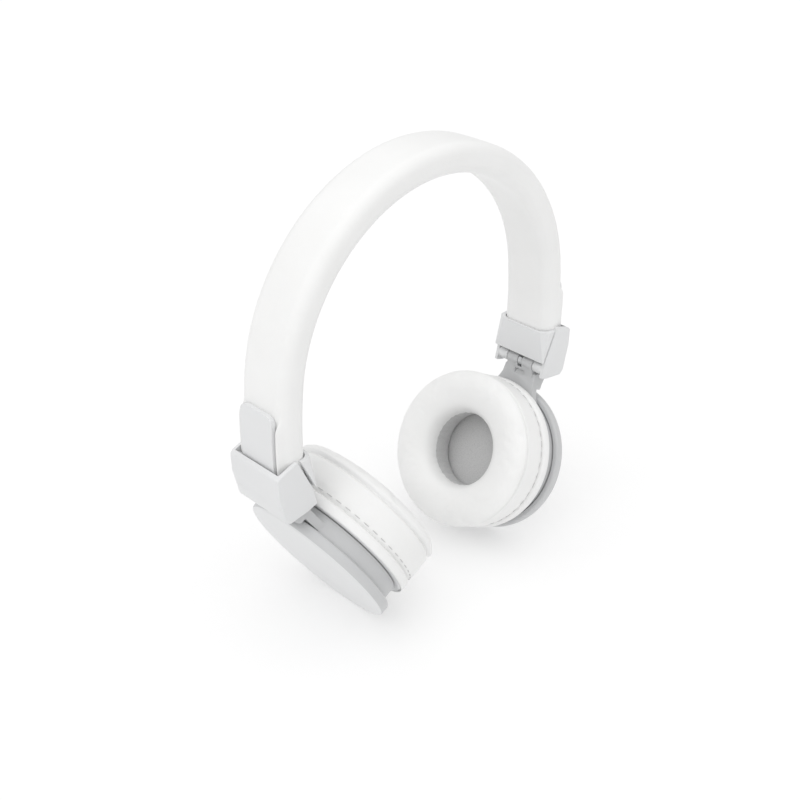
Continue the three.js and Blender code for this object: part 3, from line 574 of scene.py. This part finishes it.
def bracket(side):
    outside = [
        (BRACKET_OUT - 1.2, BRACKET_TOP), (BRACKET_OUT, BRACKET_TOP - 1.2), (BRACKET_OUT - 0.2, 0.6),
        (BRACKET_OUT - 3, BRACKET_BOTTOM + 1.6), (BRACKET_OUT - 5, BRACKET_BOTTOM),
    ]
    outline = [EDGE_TOP, EDGE_MID, EDGE_LOW, (EDGE_LOW[0] + 4.4, BRACKET_BOTTOM + 1.4), *outside[::-1]]
    wall = soften(slab(f"{side}_bracket", outline, -CHEEK_OUT, CHEEK_OUT), 0.55, 4, 12)
    inner = [(x - WEB, z) for x, z in outside[1:4]]
    room = [(-20, 20), (-20, -26), (inner[2][0], -26), *inner[::-1], (inner[0][0], 20)]
    carve(wall, [slab("pocket", room, -CHEEK_IN, CHEEK_IN)])
    saddle = brick("saddle", (0.2, BRACKET_OUT - WEB + 0.3), (-CHEEK_IN - 0.3, CHEEK_IN + 0.3), (-5.6, -2.3))
    start, end = KNUCKLE_HALF + 0.3, CHEEK_IN + 0.3
    lugs = [rod("lug", KNUCKLE_RADIUS, *sorted((way * start, way * end)), PIN_X, PIN_Z) for way in (-1, 1)]
    post_x, post_z = (POST_IN, BRACKET_OUT - WEB + 0.2), (POST_BASE, BRACKET_TOP - 1.4)
    posts = [brick("post", post_x, sorted(way * y for y in POST_Y), post_z) for way in (-1, 1)]
    carve(wall, [
        soften(saddle, 0.4, 2, 30),
        *(soften(lug, 0.35, 2, 40) for lug in lugs),
        *(soften(post, 0.3, 2, 30) for post in posts),
    ], "UNION")
    gap, half = STRIP_THICK / 2 + STRIP_ROOM, STRIP_HALF + STRIP_ROOM
    slot_hole = brick("slot", (STRIP_X - gap, STRIP_X + gap), (-half, half), (-20, 20))
    carve(wall, [slot_hole, rod("bore", PIN_ROOM, -13.2, 13.2, PIN_X, PIN_Z, 32)])
    return placed(wall, leg_frame(side))


for side in SIDES:
    dress(bracket(side), moulded, f"{side}_slider", "shell", f"{side}_fold_bracket")

# ---------------------------------------------------------------- ear cup shells
# Each cup is a moulded round cap, a narrower housing behind it that carries the neck and the two
# middle knuckles of the hinge, and a ring that the ear cushion is stretched over.
CAP_RADIUS, CAP_DEPTH, CAP_WALL = 33.88, 5.0, 1.8
HOUSING_RADIUS, HOUSING_BORE, HOUSING_END, SPIGOT = 30.95, 29.0, 12.2, 2.6
RING_START, RING_END, RING_RADIUS, RING_BORE = 12.5, 16.0, 33.5, 24.0
PIN_TO_AXIS, PIN_TO_FACE, NECK_HALF, NECK_TOP = 45.0, 10.1, 8.8, 41.6
ROUND = 160


def cup_frame(side):
    """Origin in the middle of the cap's face, X up the neck, Z towards the ear, in millimetres."""
    mount = mounts[f"{side}_cap_face"]
    ear = -Vector(mount["axis"]).normalized()
    s = SIDES[side]
    neck = Vector((s * ear.z, 0, abs(ear.x)))
    facing = Matrix((neck, ear.cross(neck), ear)).transposed().to_4x4()
    return Matrix.Translation(Vector(mount["pos_m"]) / MM) @ facing


def lathe(name, profile, sides=ROUND, phase=0.5):
    """A closed solid turned about Z from (radius, height) points."""
    rings = []
    for i in range(sides):
        a = 2 * math.pi * (i + phase) / sides
        rings.append([(r * math.cos(a), r * math.sin(a), h) for r, h in profile])
    n = len(profile)
    verts = [p for ring in rings for p in ring]
    faces = []
    for i in range(sides):
        for j in range(n):
            if profile[j][0] <= 0 and profile[(j + 1) % n][0] <= 0:
                continue
            a, b = i * n + j, i * n + (j + 1) % n
            c, d = ((i + 1) % sides) * n + (j + 1) % n, ((i + 1) % sides) * n + j
            faces.append((a, b, c, d))
    return make(name, verts, faces)


def arc(cx, cy, radius, start, end, steps=5):
    """Points of an arc, in degrees."""
    turns = [math.radians(start + (end - start) * i / steps) for i in range(steps + 1)]
    return [(cx + radius * math.cos(a), cy + radius * math.sin(a)) for a in turns]


def cap(side):
    r = CAP_RADIUS
    return lathe(f"{side}_cap", [
        (0, 0), (r - 2.3, 0), (r - 1.7, 0.05), (r - 0.75, 0.35), (r - 0.45, 0.55), (r - 0.15, 1.0), (r, 1.6),
        (r, 3.9), (r - 0.2, 4.4), (r - 0.6, 4.8), (r - 1.1, CAP_DEPTH), (31.6, CAP_DEPTH),
        (31.3, CAP_DEPTH - 0.3), (31.3, CAP_WALL), (0, CAP_WALL),
    ])


def housing(side):
    ring = lathe(f"{side}_housing", [
        (HOUSING_BORE, SPIGOT), (HOUSING_RADIUS, SPIGOT), (HOUSING_RADIUS, HOUSING_END - 0.3),
        (HOUSING_RADIUS - 0.3, HOUSING_END), (HOUSING_BORE + 0.2, HOUSING_END),
        (HOUSING_BORE, HOUSING_END - 0.2),
    ])
    profile = [
        (26, 5.5), (34.6, 5.5), (34.75, 2.9), (36.0, 2.0), (40.3, 1.6), (NECK_TOP, 3), (NECK_TOP, 7.6),
        (40.6, 9.2), (26, 9.2),
    ]
    side_wall = slab("neck", profile, -20, 20)
    plan = []
    for i in range(13):
        t = i / 12
        x = (1 - t) ** 2 * 26 + 2 * t * (1 - t) * 32 + t * t * 37
        y = (1 - t) ** 2 * 14.8 + 2 * t * (1 - t) * 9.8 + t * t * NECK_HALF
        plan.append((x, -y))
    plan.append((NECK_TOP, -NECK_HALF))
    plan += [(x, -y) for x, y in reversed(plan)]
    n = len(plan)
    flat = make("neck_plan", [(x, y, z) for z in (0, 14) for x, y in plan], [
        tuple(range(n)), tuple(range(n, 2 * n))[::-1],
        *[(i, (i + 1) % n, n + (i + 1) % n, n + i) for i in range(n)],
    ], smooth=False)
    neck_piece = soften(carve(side_wall, [flat], "INTERSECT"), 0.6, 3, 30)
    arm = slab("arm", [
        (38.6, 2.4), (NECK_TOP, 3), (47, 7.9), (PIN_TO_AXIS, PIN_TO_FACE), (42.4, 11.6), (38.6, 9.0),
    ], -KNUCKLE_HALF, KNUCKLE_HALF)
    barrel = rod("barrel", KNUCKLE_RADIUS, -KNUCKLE_HALF, KNUCKLE_HALF, PIN_TO_AXIS, PIN_TO_FACE)
    carve(neck_piece, [arm, soften(barrel, 0.3, 2, 40)], "UNION")
    recess = brick("recess", (38.2, 40.4), (-2.6, 2.6), (8.6, 12))
    slit = brick("slit", (NECK_TOP, 54), (-1.2, 1.2), (-9, 30))
    bore = rod("bore", PIN_ROOM, -20, 20, PIN_TO_AXIS, PIN_TO_FACE, 32)
    inside = lathe("inside", [(0, -9), (HOUSING_BORE + 0.02, -9), (HOUSING_BORE + 0.02, 30), (0, 30)])
    carve(neck_piece, [recess, slit, bore, inside])
    return carve(ring, [neck_piece], "UNION")


def cushion_ring(side):
    r = RING_RADIUS
    return lathe(f"{side}_ring", [
        (RING_BORE, RING_START + 1), (28.7, RING_START + 1), (28.7, RING_START),
        *arc(r - 0.9, RING_START + 0.9, 0.9, -90, 0, 4), *arc(r - 0.9, RING_END - 0.9, 0.9, 0, 90, 4),
        (RING_BORE, RING_END),
    ])


# ---------------------------------------------------------------- buttons and sockets of the right cup
# Three pill-shaped keys stand just proud of the housing's rear edge. Next to them are a charging
# socket, a round audio socket and a small status light.
WAIST = 8.6
CONTROL_ANGLE, CHARGE_ANGLE, JACK_ANGLE, LIGHT_ANGLE = map(math.radians, (-120, 155, 125, -80))
JACK_RADIUS, LIGHT_RADIUS = 3.2, 1.1
BUTTON_PITCH = 9.2 / 31
THROUGH_WALL = 25, 37
# Past this radius or above this height the cap is painted darker grey, as painted shade.
SHADE_RIM_RADIUS, SHADE_RIM_HEIGHT = 33.45, 1.0
BUTTONS = {"volume_down_button": -1, "power_button": 0, "volume_up_button": 1}


def round_cup(angle):
    """Stands a piece that was built pointing out along X at an angle round the cup."""
    return Matrix.Rotation(angle, 4, "Z") @ Matrix.Translation(Vector((0, 0, WAIST)))


def pill(name, across_half, tall_half, x0, x1, edge=0.0):
    ring = [(z, y) for z, y in rounded_box(tall_half, across_half, tall_half * 0.9, 6)]
    layers = [(x0, 1.0), (x1 - edge, 1.0)]
    if edge:
        layers += [(x1 - 0.35 * edge, 1 - 0.3 * edge / tall_half), (x1, 1 - edge / tall_half)]
    rings = [[(x, y * k if abs(y) < tall_half else math.copysign(abs(y) - (1 - k) * tall_half, y), z * k)
              for z, y in ring] for x, k in layers]
    return sweep(name, rings)


def turned_to(piece, angle):
    move = round_cup(angle)
    move.translation = move.translation * MM
    piece.data.transform(move)
    return piece


for side in SIDES:
    body = f"{side}_cup"
    shell_piece = housing(side)
    if side == "right":
        holes = [
            turned_to(pill("hole", 3.5, 1.7, *THROUGH_WALL), CONTROL_ANGLE + BUTTON_PITCH * k)
            for k in BUTTONS.values()
        ]
        holes.append(turned_to(pill("hole", 4.3, 1.8, *THROUGH_WALL), CHARGE_ANGLE))
        for radius, sides, angle in ((JACK_RADIUS, 48, JACK_ANGLE), (LIGHT_RADIUS, 24, LIGHT_ANGLE)):
            round_hole = rod("hole", radius, *THROUGH_WALL, 0, 0, sides)
            round_hole.data.transform(Matrix.Rotation(-math.pi / 2, 4, "Z"))
            holes.append(turned_to(round_hole, angle))
        carve(shell_piece, holes)
    placed(shell_piece, cup_frame(side))
    dress(shell_piece, grey_plastic_painted_shade, body, "housing_shell", f"{side}_cup_housing")
    disc = cap(side)
    # The cap's rim side and back take the darker grey as painted shade under the cushion ring.
    painted_shade_rim_faces = [
        f.index for f in disc.data.polygons
        if math.hypot(*f.center.xy) > SHADE_RIM_RADIUS * MM or f.center.z > SHADE_RIM_HEIGHT * MM
    ]
    dress(placed(disc, cup_frame(side)), moulded, body, "shell", f"{side}_outer_cap")
    paint_faces(disc, grey_plastic_painted_shade, painted_shade_rim_faces)
    dress(placed(cushion_ring(side), cup_frame(side)), moulded, body, "shell", f"{side}_cushion_ring")

for name, k in BUTTONS.items():
    key = pill(f"{name}_key", 3.2, 1.4, 28, 31.9, 0.45)
    flange = pill("flange", 4.0, 2.2, 27.6, 28.4)
    carve(key, [flange], "UNION")
    turned_to(key, CONTROL_ANGLE + BUTTON_PITCH * k)
    dress(placed(key, cup_frame("right")), moulded, name, "shell", name)

# ---------------------------------------------------------------- ear cushions
# A ring of soft foam in thin white leatherette. The face panel is sewn to the side panel with a
# welted seam, and the side panel is gathered over the ring behind it with a row of stitches.
# The foot of the ear hole takes the grey cloth of the speaker screen as painted shade deep in the hole.
screen_cloth, tree, bsdf = finish("screen_cloth", (0.62, 0.62, 0.62), 0.85, Sheen_Weight=0.2)
weave = object_noise(tree, 2600, kind="ShaderNodeTexVoronoi")
weave.distance = "CHEBYCHEV"
bumps(tree, bsdf, [(weave.outputs["Distance"], 0.6, 0.12)])
tint(tree, bsdf, weave.outputs["Distance"], (0.67, 0.67, 0.67), (0.49, 0.49, 0.49))

CUSHION_START, CUSHION_TOP, CUSHION_RIM, CUSHION_HOLE = 16.3, 36.0, 35.0, 16.0
SWELL, GROW = 0.9, 10.0
SIM_STEPS, PRESSURE, CUSHION_SIDES = 20, 4.0, 150
WELT_HEIGHT, BASE_ROW, GATHER_ROW = 30.2, 17.4, 19.5
WELT_DEPTH, LIP_HEIGHT, TUCK_DEPTH, GATHER_DEPTH = 1.25, 0.3, 0.5, 0.10
ROW_RADIUS, ROW_HEIGHT, ROW_POINTS, THREAD_LIFT = 34.62, 18.4, 180, 0.1
# Below this radius and height the hole's wall takes the grey cloth as painted shade.
HOLE_SHADE_RADIUS, HOLE_SHADE_TOP = 18.5, 27.5


def near(height, middle, width):
    """1 at the middle height, and fading to 0 above and below it."""
    return math.exp(-(((height - middle) / width) ** 2))


def cushion_profile(inset):
    """The ring's section before it is filled, drawn in from its final outline by an inset."""
    rim, hole, top, base = CUSHION_RIM - inset, CUSHION_HOLE + inset, CUSHION_TOP - inset, CUSHION_START
    corners = [
        (hole + 0.6, base), (rim - 1.6, base), (rim - 0.8, base + 1.4), (rim, base + 5),
        (rim - 0.1, WELT_HEIGHT),
        *arc(rim - 3.2, top - 3.5, 3.2, 8, 84, 5), (rim - 6, top), (25.8, top + 0.2), (hole + 7.5, top),
        *arc(hole + 6, top - 6.1, 6, 96, 180, 9), (hole, base + 2.5),
    ]
    points = []
    for (r0, h0), (r1, h1) in zip(corners, corners[1:] + corners[:1]):
        count = max(1, round(math.hypot(r1 - r0, h1 - h0) / 0.7))
        points += [(r0 + (r1 - r0) * k / count, h0 + (h1 - h0) * k / count) for k in range(count)]
    return points


def fill_with_foam(piece):
    """Blows the enlarged cover up with a little air, and keeps each point within the swell."""
    start = [v.co.copy() for v in piece.data.vertices]
    foot = (CUSHION_START + 1.0) * MM * GROW
    pinned = piece.vertex_groups.new(name="pinned")
    pinned.add([v.index for v in piece.data.vertices if v.co.z < foot], 1.0, "REPLACE")
    cloth = piece.modifiers.new("cloth", "CLOTH")
    cloth.settings.use_pressure = True
    cloth.settings.uniform_pressure_force = PRESSURE
    cloth.settings.vertex_group_mass = "pinned"
    cloth.settings.effector_weights.gravity = 0.0
    for number in range(1, SIM_STEPS + 1):
        bpy.context.scene.frame_set(number)
    bake(piece)
    bpy.context.scene.frame_set(1)
    most = SWELL * MM * GROW
    for v, was in zip(piece.data.vertices, start):
        moved = v.co - was
        if moved.length > most:
            v.co = was + moved * (most / moved.length)
        v.co.z = max(v.co.z, CUSHION_START * MM * GROW)
    return piece


def ear_cushion(side):
    profile = [(r * GROW, h * GROW) for r, h in cushion_profile(0.7)]
    piece = lathe(f"{side}_cushion", profile, CUSHION_SIDES)
    fill_with_foam(piece)
    piece.data.transform(Matrix.Scale(1 / GROW, 4))
    finer = piece.modifiers.new("finer", "SUBSURF")
    finer.levels = finer.render_levels = 1
    bake(piece)
    for v in piece.data.vertices:
        radius, height = math.hypot(v.co.x, v.co.y) / MM, v.co.z / MM
        if radius < 29:
            continue
        out, angle = Vector((v.co.x, v.co.y, 0)).normalized(), math.atan2(v.co.y, v.co.x)
        # a pinched welt under the face panel, which bulges over it, and gathers above the base row
        pinch = WELT_DEPTH * near(height, WELT_HEIGHT, 0.65)
        lip = LIP_HEIGHT * near(height, WELT_HEIGHT + 1.6, 1.0)
        folds = math.sin(34 * angle + 1.3 * math.sin(3 * angle))
        gather = GATHER_DEPTH * folds * near(height, GATHER_ROW, 1.8)
        tuck = TUCK_DEPTH * near(height, BASE_ROW, 0.7)
        v.co += out * (lip - pinch + gather - tuck) * MM
    return piece


def skirt(side):
    """The side panel's hem, stretched over the ring behind the cushion."""
    hem = lathe(f"{side}_cushion_hem", [
        (33.56, 12.8), (33.9, 12.55), (34.25, 12.8), (34.45, 13.6), (34.5, 14.9), (34.35, 16.2),
        (33.95, 16.9), (33.2, 17.2), (32.4, 17.1), (32.4, 16.32), (33.56, 16.2),
    ], 240)
    for v in hem.data.vertices:
        angle, height = math.atan2(v.co.y, v.co.x), v.co.z / MM
        out = Vector((v.co.x, v.co.y, 0)).normalized()
        v.co += out * 0.06 * MM * math.sin(47 * angle) * near(height, 15.6, 1.2)
    return hem


for side in SIDES:
    piece, to_cup, body = ear_cushion(side), cup_frame(side), f"{side}_cup"
    # Faces low in the ear hole get the grey screen cloth, painted shade deep in the hole.
    hole_shade_faces = [
        f.index for f in piece.data.polygons
        if math.hypot(*f.center.xy) < HOLE_SHADE_RADIUS * MM and f.center.z < HOLE_SHADE_TOP * MM
    ]
    placed(piece, to_cup)
    dress(piece, leatherette, body, "leatherette", f"{side}_ear_cushion", angle=180)
    paint_faces(piece, screen_cloth, hole_shade_faces)
    dress(placed(skirt(side), to_cup), leatherette, body, "leatherette", angle=180)
    cover = BVHTree.FromPolygons(
        [v.co for v in piece.data.vertices], [f.vertices[:] for f in piece.data.polygons],
    )
    path = []
    for i in range(ROW_POINTS + 1):
        a = 2 * math.pi * i / ROW_POINTS
        beside = to_cup @ Vector((ROW_RADIUS * math.cos(a), ROW_RADIUS * math.sin(a), ROW_HEIGHT))
        on_cover, normal, *_ = cover.find_nearest(beside * MM)
        path.append(on_cover / MM + normal * THREAD_LIFT)
    sew(f"{side}_cushion_stitches", path, body, Pitch=0.0046, Stitch_length=0.003, Thread_radius=0.00024)

# ---------------------------------------------------------------- speaker screen and hidden parts
# Grey woven cloth covers the drive unit at the bottom of the ear hole. The drive unit, springs,
# pins and electrics inside keep their modelled shapes.
brushed, tree, bsdf = finish("brushed_steel", (0.72, 0.73, 0.74), 0.3, Metallic=1.0)
lines = object_noise(tree, 700, 4.0, 0.7)
streak = node(tree, "ShaderNodeMapping")
streak.inputs["Scale"].default_value = (1, 8, 0.06)
coords = next(n for n in tree.nodes if n.bl_idname == "ShaderNodeTexCoord")
tree.links.new(coords.outputs["Object"], streak.inputs["Vector"])
tree.links.new(streak.outputs["Vector"], lines.inputs["Vector"])
tree.links.new(spread(tree, lines.outputs["Fac"], 0.2, 0.42), bsdf.inputs["Roughness"])
bumps(tree, bsdf, [(lines.outputs["Fac"], 0.15, 0.03)])


def simple(name, colour, roughness, scale, depth, **shader):
    """A mottled finish for a hidden part, with bumps of some depth."""
    material, tree, bsdf = finish(name, colour, roughness, **shader)
    noise = object_noise(tree, scale)
    bumps(tree, bsdf, [(noise.outputs["Fac"], 0.3, depth)])
    dark, light = tuple(c * 0.92 for c in colour), tuple(min(1, c * 1.06) for c in colour)
    tint(tree, bsdf, noise.outputs["Fac"], dark, light)
    return material


FINISHES = {
    "steel": brushed,
    "screen_cloth": screen_cloth,
    "inner_plastic": simple("black_plastic", (0.03, 0.03, 0.032), 0.5, 3500, 0.04),
    "lead_jacket": simple("lead_jacket", (0.02, 0.02, 0.02), 0.6, 2500, 0.03),
    "copper_wire": simple("copper_wire", (0.72, 0.34, 0.18), 0.3, 4000, 0.03, Metallic=1.0),
    "film": simple("amber_film", (0.75, 0.62, 0.36), 0.2, 900, 0.02),
    "board": simple("board_green", (0.03, 0.17, 0.07), 0.3, 1200, 0.02),
    "battery_foil": simple("battery_foil", (0.75, 0.77, 0.79), 0.28, 700, 0.15, Metallic=1.0),
    "light_pipe": simple("light_pipe", (0.9, 0.93, 0.97), 0.15, 1500, 0.01),
    "shell": moulded,
    "housing_shell": grey_plastic_painted_shade,
    "leatherette": leatherette,
    "foam": foam_rubber,
}
slots = {p["node"]: p["material_slot"] for p in frame["record"]["subparts"]}
for name, cad in frame["nodes"].items():
    cad.data.materials.clear()
    cad.data.materials.append(FINISHES[slots[name]])
